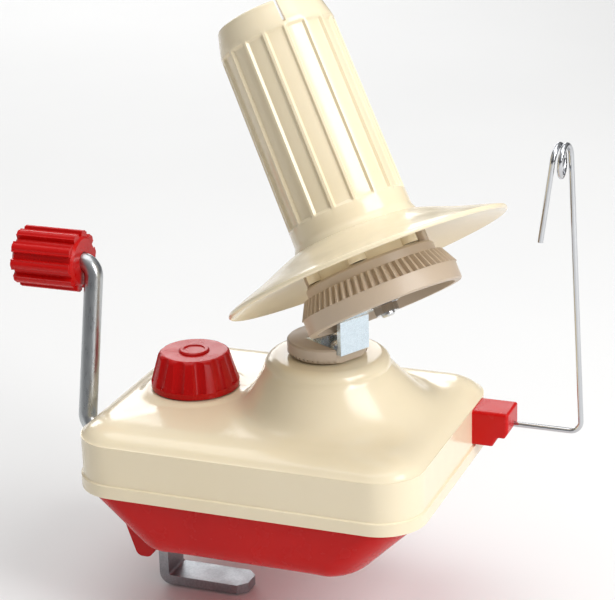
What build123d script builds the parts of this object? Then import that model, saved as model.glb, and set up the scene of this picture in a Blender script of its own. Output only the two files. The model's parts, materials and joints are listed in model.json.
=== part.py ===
"""Hand-operated yarn ball winder that clamps to the edge of a table.

Frame: origin at the centre of the tray's flat underside, +Z up, +X towards the yarn guide,
-X towards the crank and the table's edge, -Y towards the user's front. Millimetres.
"""
from build123d import *
import os
from math import acos, atan, cos, degrees, pi, radians, sin, tan

os.makedirs("parts", exist_ok=True)

# ---------------------------------------------------------------- driving dimensions
# housing
HOUSE_X, HOUSE_Y, HOUSE_R = 129.0, 100.0, 16.0
TRAY_TOP, WALL_TOP, ROOF_TOP = 22.0, 41.5, 46.5
LIP_H, LIP_OUT = 4.9, 0.7
WALL = 2.5
TRAY_INSET, TRAY_ROUND = 1.2, 8.0
TRAY_END_IN, TRAY_SIDE_IN, TRAY_LOW_R = 22.1, 0.7, 18.0
SCREW_X, SCREW_Y = 31.0, 33.5

# turret and flyer
TURRET_X = 17.0
TURRET_TOP, SHOULDER_R = 66.5, 21.8
COLLAR_R, COLLAR_LOW, COLLAR_TOP = 14.4, 67.3, 72.6
TUBE_R, TUBE_BORE = 5.0, 3.0
POST_R = 2.5

# tilted winding head: its axis crosses the turret axis at the apex
TILT = 31.8
HEAD_AZIMUTH = -28.0
APEX_Z = 142.0
CORE_LOW, CORE_TOP, CORE_R, CORE_BASE_R = -31.6, 51.0, 21.1, 21.6
FLANGE_R, FLANGE_S = 51.8, -43.0
RIBS, RIB_W, PANEL_DEEP = 17, 1.1, 1.0
RING_BAND_R, RING_LOW, TOOTH_LOW, TOOTH_TOP = 28.2, -59.6, -53.3, -47.4
RING_TEETH, SUN_TEETH = 64, 10
PLATE_LOW, PLATE_TOP = -57.6, -55.8
AXLE_R = 2.5

# crank
CRANK_Y, CRANK_Z = -14.0, 31.5
ROD_R, ARM_X, BEND_R = 3.5, -74.4, 6.0
ARM_LENGTH, ARM_LEAN = 61.8, 13.2
GRIP_R, GRIP_X0, GRIP_X1 = 11.0, -104.2, -78.7
GRIP_RIBS = 10

# gear train between crank and flyer
IDLER_X = -2.5
BEVEL_M, BEVEL_BIG, BEVEL_SMALL, BEVEL_KEEP = 0.85, 28, 16, 0.72
SPUR_M, SPUR_BIG, SPUR_SMALL = 0.8, 44, 16
SPUR_LOW, SPUR_TOP = 9.0, 14.0
BACKLASH = 0.16

# clamp
KNOB_X, KNOB_LOW, KNOB_H = -35.6, 48.0, 13.2
KNOB_R, KNOB_TOP_R, KNOB_FLUTES = 16.3, 13.0, 12
CLAMP_R = 3.0
BAR_X0, BAR_X1, BAR_T, BAR_W = -51.5, -16.3, 3.8, 13.5
FOOT_LOW, FLANGE_LOW = -33.6, 6.5
FIN_Y, FIN_W, FIN_LOW, FIN_IN_X = 20.5, 10.0, -12.8, -44.6

# yarn guide
GUIDE_Y, GUIDE_Z, WIRE_R = 30.0, 34.0, 1.0
WIRE_X, WIRE_TOP_X, EYE_Z, EYE_R = 103.0, 97.8, 137.0, 5.4

# fits
RUN = 0.06        # radial clearance of a running fit
FREE = 0.4        # clearance where parts pass each other

# ---------------------------------------------------------------- derived geometry
tilt_r = radians(TILT)
azim = radians(HEAD_AZIMUTH)
out_dir = Vector(cos(azim), sin(azim), 0)
head_axis = Vector(0, 0, 1) * cos(tilt_r) - out_dir * sin(tilt_r)
head_side = out_dir * cos(tilt_r) + Vector(0, 0, 1) * sin(tilt_r)
apex = Vector(TURRET_X, 0, APEX_Z)
head = Plane(origin=apex, x_dir=head_side, z_dir=head_axis)
head_half = Plane(origin=apex, x_dir=head_side, z_dir=head_side.cross(head_axis))
head_line = Axis(apex, head_axis)

turret_half = Plane(origin=(TURRET_X, 0, 0), x_dir=(1, 0, 0), z_dir=(0, -1, 0))
turret_line = Axis((TURRET_X, 0, 0), (0, 0, 1))
knob_half = Plane(origin=(KNOB_X, 0, 0), x_dir=(1, 0, 0), z_dir=(0, -1, 0))
knob_line = Axis((KNOB_X, 0, 0), (0, 0, 1))
crank_half = Plane(origin=(0, CRANK_Y, CRANK_Z), x_dir=(1, 0, 0), z_dir=(0, -1, 0))
crank_line = Axis((0, CRANK_Y, CRANK_Z), (1, 0, 0))
GRIP_Y = CRANK_Y + ARM_LENGTH * sin(radians(ARM_LEAN))
GRIP_Z = CRANK_Z + ARM_LENGTH * cos(radians(ARM_LEAN))
grip_line = Axis((0, GRIP_Y, GRIP_Z), (1, 0, 0))
idler_half = Plane(origin=(IDLER_X, CRANK_Y, 0), x_dir=(1, 0, 0), z_dir=(0, -1, 0))
idler_line = Axis((IDLER_X, CRANK_Y, 0), (0, 0, 1))

# bevel cone angles: fixed sun pinion with ring gear, and crank gear with idler pinion
ring_cone = atan(sin(tilt_r) / (SUN_TEETH / RING_TEETH + cos(tilt_r)))
sun_cone = tilt_r - ring_cone
RING_PITCH_R = -TOOTH_LOW * tan(ring_cone)
RING_M = 2 * RING_PITCH_R / RING_TEETH
SUN_REACH = -TOOTH_LOW / cos(ring_cone) * cos(sun_cone)
big_cone = atan(BEVEL_BIG / BEVEL_SMALL)
small_cone = pi / 2 - big_cone
BIG_PITCH_R = BEVEL_M * BEVEL_BIG / 2
SMALL_PITCH_R = BEVEL_M * BEVEL_SMALL / 2


# ---------------------------------------------------------------- shared helpers
def gear_outline(teeth, module, cone=0.0, pressure=20.0, addendum=1.0, dedendum=1.25, start=0.0):
    """Closed outline of a gear across its axis, one tooth centred on angle start (degrees).

    A bevel gear's involute lies on its back cone; each point is carried along its ray to the
    apex onto the flat plane of the big end, so scaling the outline towards the apex gives
    the true tapering teeth.
    """
    pitch_r = module * teeth / 2
    virtual_r = pitch_r / cos(cone)
    reach = pitch_r / tan(cone) if cone else 0.0
    base_r = virtual_r * cos(radians(pressure))
    tip_r = virtual_r + addendum * module
    root_r = virtual_r - dedendum * module
    half_tooth = (pi * module / 2 - BACKLASH) / (2 * virtual_r)
    inv_pitch = tan(radians(pressure)) - radians(pressure)

    def flatten(r):
        if not cone:
            return r
        return r * cos(cone) * reach / (reach + pitch_r * tan(cone) - r * sin(cone))

    def half_angle(r):
        roll = acos(min(1.0, base_r / r))
        return (half_tooth + inv_pitch - (tan(roll) - roll)) / cos(cone)

    low_r = max(base_r, root_r)
    radii = [low_r + (tip_r - low_r) * step / 3 for step in range(4)]
    if root_r < base_r:
        radii = [root_r] + radii
    points = []
    for tooth in range(teeth):
        middle = radians(start) + 2 * pi * tooth / teeth
        flank = [(flatten(r), half_angle(max(r, base_r))) for r in radii]
        for r, half in flank:
            points.append((r * cos(middle - half), r * sin(middle - half)))
        for r, half in reversed(flank):
            points.append((r * cos(middle + half), r * sin(middle + half)))
    return points


def toothed_loft(apex_plane, outline, far, near):
    """Tapering teeth between distances far and near from the apex, along the plane's normal."""
    sections = []
    for distance in (far, near):
        shrink = abs(distance / far)
        with BuildSketch(apex_plane.offset(distance)) as section:
            with BuildLine():
                Polyline(*[(x * shrink, y * shrink) for x, y in outline], close=True)
            make_face()
        sections.append(section.sketch)
    loft(sections, ruled=True)


def turned(half_plane, line, points):
    """Solid of revolution of a closed polygon of (radius, height) points."""
    with BuildSketch(half_plane) as profile:
        with BuildLine():
            Polyline(*points, close=True)
        make_face()
    revolve(profile.sketch, axis=line)


def tube_points(r_in, r_out, low, high):
    """Half section of a plain tube."""
    return [(r_in, low), (r_out, low), (r_out, high), (r_in, high)]


def rod_points(r_out, low, high):
    """Half section of a plain round rod."""
    return [(0, low), (r_out, low), (r_out, high), (0, high)]


# ---------------------------------------------------------------- bottom tray
corner_spots = [(x, y) for x in (-SCREW_X, SCREW_X) for y in (-SCREW_Y, SCREW_Y)]
TRAY_X, TRAY_Y, TRAY_R = HOUSE_X - 2 * TRAY_INSET, HOUSE_Y - 2 * TRAY_INSET, HOUSE_R - TRAY_INSET
END_WALL = WALL * 2 ** 0.5      # the sloping end walls' thickness measured along X
KNEE_Z = WALL + TRAY_ROUND / 2
IDLER_BOSS_TOP, BUSH_BOSS_TOP = 8.4, 7.4
BLOCK_X0, BLOCK_X1, BLOCK_W = -27.5, -22.0, 13.0
SLOT_X1 = -43.6


def tray_section(height, wall_x=0.0, wall_y=0.0, low_r=TRAY_LOW_R):
    """Rounded outline of the boat-shaped tray at one height, drawn in by the wall's thickness."""
    drop = 1 - height / TRAY_TOP
    long_side = TRAY_X - 2 * (TRAY_END_IN * drop + wall_x)
    short_side = TRAY_Y - 2 * (TRAY_SIDE_IN * drop + wall_y)
    with BuildSketch(Plane.XY.offset(height)) as section:
        RectangleRounded(long_side, short_side, TRAY_R + (low_r - TRAY_R) * drop - wall_y)
    return section.sketch


with BuildPart() as bottom_tray:
    loft([tray_section(TRAY_TOP), tray_section(0)], ruled=True)
    fillet(bottom_tray.faces().sort_by(Axis.Z)[0].edges(), TRAY_ROUND)
    loft([tray_section(TRAY_TOP, END_WALL, WALL), tray_section(KNEE_Z, END_WALL, WALL)], ruled=True,
         mode=Mode.SUBTRACT)
    loft([tray_section(KNEE_Z, END_WALL, WALL),
          tray_section(WALL, END_WALL + 1.5, WALL + TRAY_ROUND / 2 + 0.3)], ruled=True, mode=Mode.SUBTRACT)
    # two fins that stop against the table's edge, one each side of the clamp bar
    for side in (-1, 1):
        with BuildSketch(Plane.XZ.offset(-side * FIN_Y + FIN_W / 2)):
            with BuildLine():
                Polyline((-62.2, 20.5), (-59.9, 20.5), (FIN_IN_X, 5.2), (FIN_IN_X, FIN_LOW),
                         (-50.9, FIN_LOW), close=True)
            make_face()
        extrude(amount=-FIN_W)
    fin_ends = bottom_tray.edges().filter_by(Axis.Y).group_by(Axis.Z)[0]
    fillet(fin_ends, 2.8)
    # screw bosses, the idler's boss, the lower bush's boss and the bearing block's two ribs
    with Locations(*[(x, y, WALL - 0.5) for x, y in corner_spots]):
        Cylinder(4.6, 10.5, align=(Align.CENTER, Align.CENTER, Align.MIN))
    with Locations((IDLER_X, CRANK_Y, WALL - 0.5)):
        Cylinder(5.0, IDLER_BOSS_TOP - WALL + 0.5, align=(Align.CENTER, Align.CENTER, Align.MIN))
    with Locations((TURRET_X, 0, WALL - 0.5)):
        Cylinder(9.0, BUSH_BOSS_TOP - WALL + 0.5, align=(Align.CENTER, Align.CENTER, Align.MIN))
    with Locations(((BLOCK_X0 + BLOCK_X1) / 2, CRANK_Y, WALL - 0.5)):
        Box(BLOCK_X1 - BLOCK_X0, BLOCK_W, 6, align=(Align.CENTER, Align.CENTER, Align.MIN))
    # holes: cover screws, idler axle, lower bush, fixed post's foot and the clamp bar's slot
    with Locations(*[(x, y, 0) for x, y in corner_spots]):
        Cylinder(1.9, 40, mode=Mode.SUBTRACT)
        Cylinder(3.3, 5.2, mode=Mode.SUBTRACT)
    with Locations((IDLER_X, CRANK_Y, IDLER_BOSS_TOP)):
        Cylinder(2.5, 10.8, mode=Mode.SUBTRACT)
    with Locations((TURRET_X, 0, BUSH_BOSS_TOP)):
        Cylinder(7.0, 7.2, mode=Mode.SUBTRACT)
    with Locations((TURRET_X, 0, 0)):
        Cylinder(POST_R, 20, mode=Mode.SUBTRACT)
        Cylinder(5.2, 3.0, mode=Mode.SUBTRACT)
    with Locations(((BLOCK_X0 + BLOCK_X1) / 2, CRANK_Y, 0)):
        Cylinder(1.5, 30, mode=Mode.SUBTRACT)
        Cylinder(3.0, 4.0, mode=Mode.SUBTRACT)
    with Locations(((BAR_X0 - FREE + SLOT_X1) / 2, 0, 0)):
        Box(SLOT_X1 - BAR_X0 + FREE, BAR_W + 2 * FREE, 30, mode=Mode.SUBTRACT)
bottom_tray.part.label = "bottom_tray"
export_step(bottom_tray.part, "parts/bottom_tray.step")

# ---------------------------------------------------------------- top cover with turret
SOCKET_X0, SOCKET_Z0, SOCKET_Z1, SOCKET_W = 64.5, 27.6, 41.0, 14.0
ROOF_IN = 9.0
KNOB_BOSS_R, KNOB_BOSS_TOP = 18.6, 47.4
roof_angle = degrees(atan(ROOF_IN / (ROOF_TOP - WALL_TOP)))
with BuildPart() as top_cover:
    with BuildSketch(Plane.XY.offset(TRAY_TOP)):
        RectangleRounded(HOUSE_X, HOUSE_Y, HOUSE_R)
    extrude(amount=WALL_TOP - TRAY_TOP)
    with BuildSketch(Plane.XY.offset(WALL_TOP)):
        RectangleRounded(HOUSE_X, HOUSE_Y, HOUSE_R)
    extrude(amount=ROOF_TOP - WALL_TOP, taper=roof_angle)
    fillet(top_cover.edges().filter_by_position(Axis.Z, WALL_TOP - 0.01, WALL_TOP + 0.01), 4.0)
    fillet(top_cover.faces().sort_by(Axis.Z)[-1].edges(), 14.0)
    # lip around the lower edge
    with BuildSketch(Plane.XY.offset(TRAY_TOP)):
        RectangleRounded(HOUSE_X + 2 * LIP_OUT, HOUSE_Y + 2 * LIP_OUT, HOUSE_R + LIP_OUT)
    extrude(amount=LIP_H - LIP_OUT)
    with BuildSketch(Plane.XY.offset(TRAY_TOP + LIP_H - LIP_OUT)):
        RectangleRounded(HOUSE_X + 2 * LIP_OUT, HOUSE_Y + 2 * LIP_OUT, HOUSE_R + LIP_OUT)
    extrude(amount=LIP_OUT, taper=45)
    # bell-shaped turret
    with BuildSketch(turret_half):
        with BuildLine():
            Line((0, WALL_TOP), (0, TURRET_TOP))
            Line((0, TURRET_TOP), (SHOULDER_R - 2.6, TURRET_TOP))
            RadiusArc((SHOULDER_R - 2.6, TURRET_TOP), (SHOULDER_R + 1.4, 63.4), 3.6)
            Spline((SHOULDER_R + 1.4, 63.4), (27.6, 56.0), (32.2, 49.8), (40.5, 46.2),
                   tangents=((0.45, -1), (1, -0.12)))
            Line((40.5, 46.2), (40.5, WALL_TOP))
            Line((40.5, WALL_TOP), (0, WALL_TOP))
        make_face()
    revolve(axis=turret_line)
    # raised boss under the clamp knob
    turned(knob_half, knob_line, [(0, 44), (KNOB_BOSS_R + 2.4, 44), (KNOB_BOSS_R + 1.6, 46.4),
                                  (KNOB_BOSS_R, KNOB_BOSS_TOP), (0, KNOB_BOSS_TOP)])
    # hollow inside
    with BuildSketch(Plane.XY.offset(TRAY_TOP)):
        RectangleRounded(HOUSE_X - 2 * WALL, HOUSE_Y - 2 * WALL, HOUSE_R - WALL)
    extrude(amount=WALL_TOP - WALL - TRAY_TOP, mode=Mode.SUBTRACT)
    with BuildSketch(Plane.XY.offset(WALL_TOP - WALL)):
        RectangleRounded(HOUSE_X - 2 * WALL, HOUSE_Y - 2 * WALL, HOUSE_R - WALL)
    extrude(amount=ROOF_TOP - WALL_TOP - 0.4, taper=roof_angle, mode=Mode.SUBTRACT)
    with BuildSketch(turret_half):
        with BuildLine():
            Polyline((0, 35), (34.0, 35), (34.0, 44.0), (29.6, 48.6), (24.6, 56.0), (20.0, 63.0), (0, 63.0),
                     close=True)
        make_face()
    revolve(axis=turret_line, mode=Mode.SUBTRACT)
    # posts and bearing seats
    with Locations(*[(x, y, 12.6) for x, y in corner_spots]):
        Cylinder(4.2, 32, align=(Align.CENTER, Align.CENTER, Align.MIN))
        Cylinder(1.5, 38, mode=Mode.SUBTRACT)
    turned(turret_half, turret_line, tube_points(0, 10.0, 56.0, 64.0))
    with Locations((TURRET_X, 0, 60)):
        Cylinder(7.0, 30, mode=Mode.SUBTRACT)
    turned(knob_half, knob_line, tube_points(0, 7.5, 41.5, 46.5))
    with Locations((KNOB_X, 0, 40)):
        Cylinder(4.5, 30, mode=Mode.SUBTRACT)
    # crank bush hole, and the guide socket's two screw holes
    with Locations(Location((-HOUSE_X / 2, CRANK_Y, CRANK_Z), (0, 90, 0))):
        Cylinder(5.6, 16, mode=Mode.SUBTRACT)
        Cylinder(7.4, 6, align=(Align.CENTER, Align.CENTER, Align.MAX), mode=Mode.SUBTRACT)
    for rise in (SOCKET_Z0 + 3.0, SOCKET_Z1 - 5.0):
        with Locations(Location((HOUSE_X / 2, GUIDE_Y - 4.0, rise), (0, 90, 0))):
            Cylinder(1.3, 12, mode=Mode.SUBTRACT)
top_cover.part.label = "top_cover"
export_step(top_cover.part, "parts/top_cover.step")

# ---------------------------------------------------------------- fixed bearings and fasteners
with BuildPart() as cover_screws:
    with Locations(*[(x, y, 0.2) for x, y in corner_spots]):
        Cylinder(3.0, 2.2, align=(Align.CENTER, Align.CENTER, Align.MIN))
        Cylinder(1.5, 22, align=(Align.CENTER, Align.CENTER, Align.MIN))
    with Locations(*[(x, y, 0.2) for x, y in corner_spots]):
        Box(4.2, 0.8, 1.6, mode=Mode.SUBTRACT)
        Box(0.8, 4.2, 1.6, mode=Mode.SUBTRACT)
cover_screws.part.label = "cover_screws"
export_step(cover_screws.part, "parts/cover_screws.step")

with BuildPart() as turret_bush:
    turned(turret_half, turret_line, [(TUBE_R + RUN, 55.6), (7.0, 55.6), (7.0, TURRET_TOP),
                                      (9.0, TURRET_TOP), (9.0, TURRET_TOP + 0.5), (TUBE_R + RUN, TURRET_TOP + 0.5)])
turret_bush.part.label = "turret_bush"
export_step(turret_bush.part, "parts/turret_bush.step")

LOWER_BUSH_LOW = 3.8
with BuildPart() as lower_bush:
    turned(turret_half, turret_line, [(POST_R, LOWER_BUSH_LOW), (7.0, LOWER_BUSH_LOW), (7.0, 8.2),
                                      (TUBE_R + RUN, 8.2), (TUBE_R + RUN, 4.8), (POST_R, 4.8)])
lower_bush.part.label = "lower_bush"
export_step(lower_bush.part, "parts/lower_bush.step")

SUN_LOW, SUN_HIGH = 82.9, 89.0
with BuildPart() as sun_post:
    turned(turret_half, turret_line, [(0, 0.3), (4.8, 0.3), (4.8, 1.5), (POST_R, 1.5), (POST_R, SUN_LOW),
                                      (1.9, SUN_LOW), (1.9, SUN_HIGH), (0, SUN_HIGH)])
    with Locations((TURRET_X, 0, SUN_HIGH)):
        Cylinder(1.0, 10, mode=Mode.SUBTRACT)
sun_post.part.label = "sun_post"
export_step(sun_post.part, "parts/sun_post.step")

apex_down = Plane(origin=apex, x_dir=(1, 0, 0), z_dir=(0, 0, 1))
sun_far = APEX_Z - SUN_LOW
sun_outline = gear_outline(SUN_TEETH, RING_M, sun_cone, pressure=25, addendum=0.75, dedendum=1.05,
                           start=HEAD_AZIMUTH)
sun_outline = [(x * sun_far / SUN_REACH, y * sun_far / SUN_REACH) for x, y in sun_outline]
with BuildPart() as sun_pinion:
    toothed_loft(apex_down, sun_outline, -sun_far, SUN_HIGH - APEX_Z)
    with Locations((TURRET_X, 0, SUN_LOW)):
        Cylinder(1.9, 20, mode=Mode.SUBTRACT)
sun_pinion.part.label = "sun_pinion"
export_step(sun_pinion.part, "parts/sun_pinion.step")

with BuildPart() as sun_screw:
    turned(turret_half, turret_line, [(0, SUN_HIGH - 4.5), (1.0, SUN_HIGH - 4.5), (1.0, SUN_HIGH),
                                      (2.5, SUN_HIGH), (2.3, SUN_HIGH + 1.2), (0, SUN_HIGH + 1.4)])
sun_screw.part.label = "sun_screw"
export_step(sun_screw.part, "parts/sun_screw.step")

with BuildPart() as idler_axle:
    turned(idler_half, idler_line, [(0, 3.0), (2.5, 3.0), (2.5, 24.6), (1.8, 24.6), (1.8, 25.4), (2.2, 25.9),
                                    (2.2, 26.6), (0, 26.6)])
idler_axle.part.label = "idler_axle"
export_step(idler_axle.part, "parts/idler_axle.step")

with BuildPart() as idler_clip:
    turned(idler_half, idler_line, tube_points(1.8, 3.8, 24.7, 25.3))
idler_clip.part.label = "idler_clip"
export_step(idler_clip.part, "parts/idler_clip.step")

with BuildPart() as crank_bush:
    turned(crank_half, crank_line, [(-61.0, ROD_R + RUN), (-61.0, 5.6), (-64.5, 5.6), (-64.5, 7.2),
                                    (-65.8, 7.2), (-65.8, ROD_R + RUN)])
crank_bush.part.label = "crank_bush"
export_step(crank_bush.part, "parts/crank_bush.step")

with BuildPart() as bearing_block:
    with BuildSketch(Plane.YZ.offset(BLOCK_X0)):
        with BuildLine():
            Line((CRANK_Y - 6, 8.0), (CRANK_Y + 6, 8.0))
            Line((CRANK_Y + 6, 8.0), (CRANK_Y + 6, CRANK_Z))
            RadiusArc((CRANK_Y + 6, CRANK_Z), (CRANK_Y - 6, CRANK_Z), -6.0)
            Line((CRANK_Y - 6, CRANK_Z), (CRANK_Y - 6, 8.0))
        make_face()
    extrude(amount=BLOCK_X1 - BLOCK_X0)
    with Locations(Location(((BLOCK_X0 + BLOCK_X1) / 2, CRANK_Y, CRANK_Z), (0, 90, 0))):
        Cylinder(ROD_R + RUN, 20, mode=Mode.SUBTRACT)
    with Locations(((BLOCK_X0 + BLOCK_X1) / 2, CRANK_Y, 8.0)):
        Cylinder(1.2, 16, mode=Mode.SUBTRACT)
bearing_block.part.label = "bearing_block"
export_step(bearing_block.part, "parts/bearing_block.step")

with BuildPart() as block_screw:
    with Locations(((BLOCK_X0 + BLOCK_X1) / 2, CRANK_Y, 0.3)):
        Cylinder(2.7, 1.7, align=(Align.CENTER, Align.CENTER, Align.MIN))
        Cylinder(1.2, 14, align=(Align.CENTER, Align.CENTER, Align.MIN))
        Box(3.8, 0.7, 1.4, mode=Mode.SUBTRACT)
block_screw.part.label = "block_screw"
export_step(block_screw.part, "parts/block_screw.step")

# ---------------------------------------------------------------- crank
with BuildPart() as crank_rod:
    with BuildLine() as rod_path:
        FilletPolyline((-10.6, CRANK_Y, CRANK_Z), (ARM_X, CRANK_Y, CRANK_Z), (ARM_X, GRIP_Y, GRIP_Z),
                       (GRIP_X0 + 4.6, GRIP_Y, GRIP_Z), radius=BEND_R - 0.6)
    with BuildSketch(Plane(origin=(-10.6, CRANK_Y, CRANK_Z), z_dir=(-1, 0, 0))):
        Circle(ROD_R)
    sweep()
    with Locations((-13.2, CRANK_Y, CRANK_Z)):
        Cylinder(1.0, 12, mode=Mode.SUBTRACT)
    for groove_x in (-59.6, -21.2):
        with BuildSketch(crank_half):
            with Locations((groove_x, 3.2)):
                Rectangle(1.0, 1.0)
        revolve(axis=crank_line, mode=Mode.SUBTRACT)
crank_rod.part.label = "crank_rod"
export_step(crank_rod.part, "parts/crank_rod.step")

with BuildPart() as crank_clips:
    for clip_x in (-59.6, -21.2):
        turned(crank_half, crank_line, [(clip_x - 0.5, 2.7), (clip_x - 0.5, 6.0), (clip_x + 0.5, 6.0),
                                        (clip_x + 0.5, 2.7)])
crank_clips.part.label = "crank_clips"
export_step(crank_clips.part, "parts/crank_clips.step")

gear_x = IDLER_X - SMALL_PITCH_R
big_apex = Plane(origin=(IDLER_X, CRANK_Y, CRANK_Z), x_dir=(0, 0, -1), z_dir=(-1, 0, 0))
with BuildPart() as crank_gear:
    big_outline = gear_outline(BEVEL_BIG, BEVEL_M, big_cone, addendum=0.8, dedendum=1.1)
    toothed_loft(big_apex, big_outline, SMALL_PITCH_R, SMALL_PITCH_R * BEVEL_KEEP)
    turned(crank_half, crank_line, [(gear_x + 0.2, 0), (gear_x + 0.2, 10.2), (gear_x - 1.6, 10.2),
                                    (gear_x - 1.6, 6.4), (-17.4, 6.4), (-17.4, 0)])
    with Locations(Location((-12, CRANK_Y, CRANK_Z), (0, 90, 0))):
        Cylinder(ROD_R, 30, mode=Mode.SUBTRACT)
    with Locations((-13.2, CRANK_Y, CRANK_Z)):
        Cylinder(1.0, 30, mode=Mode.SUBTRACT)
crank_gear.part.label = "crank_gear"
export_step(crank_gear.part, "parts/crank_gear.step")

with BuildPart() as crank_gear_pin:
    with Locations((-13.2, CRANK_Y, CRANK_Z)):
        Cylinder(1.0, 12.6)
crank_gear_pin.part.label = "crank_gear_pin"
export_step(crank_gear_pin.part, "parts/crank_gear_pin.step")

grip_half = Plane(origin=(0, GRIP_Y, GRIP_Z), x_dir=(1, 0, 0), z_dir=(0, -1, 0))
GRIP_VALLEY_R = GRIP_R - 1.5
with BuildPart() as crank_grip:
    turned(grip_half, grip_line, [(GRIP_X0, 0), (GRIP_X0, GRIP_VALLEY_R - 1.2), (GRIP_X0 + 1.2, GRIP_VALLEY_R),
                                  (GRIP_X1 - 1.0, GRIP_VALLEY_R), (GRIP_X1, GRIP_VALLEY_R - 1.0), (GRIP_X1, 0)])
    with BuildSketch(Plane(origin=(GRIP_X0 + 0.8, GRIP_Y, GRIP_Z), x_dir=(0, 1, 0), z_dir=(1, 0, 0))):
        with PolarLocations(GRIP_VALLEY_R - 1.0, GRIP_RIBS):
            SlotOverall(6.0, 4.0)
            Rectangle(5.0, 4.0)
    extrude(amount=GRIP_X1 - GRIP_X0 - 1.6)
    with Locations(Location((GRIP_X0 + 4.0, GRIP_Y, GRIP_Z), (0, 90, 0))):
        Cylinder(ROD_R + RUN, 60, align=(Align.CENTER, Align.CENTER, Align.MIN), mode=Mode.SUBTRACT)
crank_grip.part.label = "crank_grip"
export_step(crank_grip.part, "parts/crank_grip.step")

# ---------------------------------------------------------------- idler: spur gear with bevel pinion
spur_bearing = degrees(atan((0 - CRANK_Y) / (TURRET_X - IDLER_X)))
idler_top = CRANK_Z - BIG_PITCH_R * BEVEL_KEEP
with BuildPart() as idler_gear:
    with BuildSketch(Plane(origin=(IDLER_X, CRANK_Y, SPUR_LOW))):
        with BuildLine():
            Polyline(*gear_outline(SPUR_BIG, SPUR_M, start=spur_bearing), close=True)
        make_face()
    extrude(amount=SPUR_TOP - SPUR_LOW)
    with BuildSketch(Plane(origin=(IDLER_X, CRANK_Y, SPUR_TOP))):
        with PolarLocations(10.6, 6):
            Circle(2.6)
    extrude(amount=-(SPUR_TOP - SPUR_LOW), mode=Mode.SUBTRACT)
    idler_apex = Plane(origin=(IDLER_X, CRANK_Y, CRANK_Z), x_dir=(-1, 0, 0), z_dir=(0, 0, -1))
    small_outline = gear_outline(BEVEL_SMALL, BEVEL_M, small_cone, addendum=0.8, dedendum=1.1,
                                 start=180 / BEVEL_SMALL)
    toothed_loft(idler_apex, small_outline, BIG_PITCH_R, BIG_PITCH_R * BEVEL_KEEP)
    turned(idler_half, idler_line, rod_points(5.2, SPUR_TOP - 1, CRANK_Z - BIG_PITCH_R + 0.1))
    with Locations((IDLER_X, CRANK_Y, 0)):
        Cylinder(2.5 + RUN, 80, mode=Mode.SUBTRACT)
idler_gear.part.label = "idler_gear"
export_step(idler_gear.part, "parts/idler_gear.step")

# ---------------------------------------------------------------- flyer on the turret
PINION_LOW, PINION_HIGH = 8.6, 14.4
TUBE_LOW, TUBE_TOP = 5.2, 74.6
with BuildPart() as flyer_tube:
    turned(turret_half, turret_line, tube_points(TUBE_BORE, TUBE_R, TUBE_LOW, TUBE_TOP))
flyer_tube.part.label = "flyer_tube"
export_step(flyer_tube.part, "parts/flyer_tube.step")

with BuildPart() as flyer_pinion:
    gap_start = 180 + spur_bearing + 180 / SPUR_SMALL
    with BuildSketch(Plane(origin=(TURRET_X, 0, PINION_LOW))):
        with BuildLine():
            Polyline(*gear_outline(SPUR_SMALL, SPUR_M, start=gap_start, dedendum=1.15), close=True)
        make_face()
    extrude(amount=PINION_HIGH - PINION_LOW)
    turned(turret_half, turret_line, rod_points(6.4, PINION_HIGH, PINION_HIGH + 3.0))
    with Locations((TURRET_X, 0, 0)):
        Cylinder(TUBE_R, 60, mode=Mode.SUBTRACT)
flyer_pinion.part.label = "flyer_pinion"
export_step(flyer_pinion.part, "parts/flyer_pinion.step")

# the bracket's own frame: local X points outwards to the tilted axle
bracket_plane = Plane(origin=(TURRET_X, 0, 0), x_dir=out_dir, z_dir=(0, 0, 1))
bracket_side = Plane(origin=(TURRET_X, 0, 0), x_dir=out_dir, z_dir=out_dir.cross(Vector(0, 0, 1)))
STRAP_W, STRAP_T, UPRIGHT_R = 13.4, 1.8, 14.9
SEAT_LOW = COLLAR_TOP - STRAP_T
SEAT_IN_X, SEAT_LONG = -4.0, 40.0
BRACKET_SCREWS = [(9.3, 3.6), (9.3, -3.6)]
with BuildPart() as hub_collar:
    turned(turret_half, turret_line, [(TUBE_R, COLLAR_LOW), (COLLAR_R - 0.8, COLLAR_LOW),
                                      (COLLAR_R, COLLAR_LOW + 0.8), (COLLAR_R, COLLAR_TOP - 0.6),
                                      (COLLAR_R - 0.6, COLLAR_TOP), (TUBE_R, COLLAR_TOP)])
    # fine serrations around the lower edge
    with BuildSketch(Plane(origin=(TURRET_X, 0, COLLAR_LOW))):
        with PolarLocations(COLLAR_R, 48):
            Rectangle(1.2, 0.9)
    extrude(amount=1.3, mode=Mode.SUBTRACT)
    # seat for the bracket's lower plate, open on the bracket's side
    with BuildSketch(bracket_plane.offset(SEAT_LOW)):
        with Locations((SEAT_IN_X + SEAT_LONG / 2, 0)):
            Rectangle(SEAT_LONG, STRAP_W + 0.2)
    extrude(amount=10, mode=Mode.SUBTRACT)
    with BuildSketch(bracket_plane.offset(COLLAR_LOW - 1)):
        with Locations((UPRIGHT_R - STRAP_T - 0.3 + 10, 0)):
            Rectangle(20, 60)
    extrude(amount=20, mode=Mode.SUBTRACT)
    with BuildSketch(bracket_plane.offset(COLLAR_LOW)):
        with Locations(*BRACKET_SCREWS):
            Circle(1.1)
    extrude(amount=20, mode=Mode.SUBTRACT)
hub_collar.part.label = "hub_collar"
export_step(hub_collar.part, "parts/hub_collar.step")


def on_axis(s, r=0.0):
    """Point of the bracket's side view: s along the tilted axis from the apex, r across it."""
    return (-s * sin(tilt_r) + r * cos(tilt_r), APEX_Z + s * cos(tilt_r) + r * sin(tilt_r))


def plate_height(s, x):
    """Height at which the plane across the tilted axis at s passes distance x from the turret axis."""
    return APEX_Z + (s + x * sin(tilt_r)) / cos(tilt_r)


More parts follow.
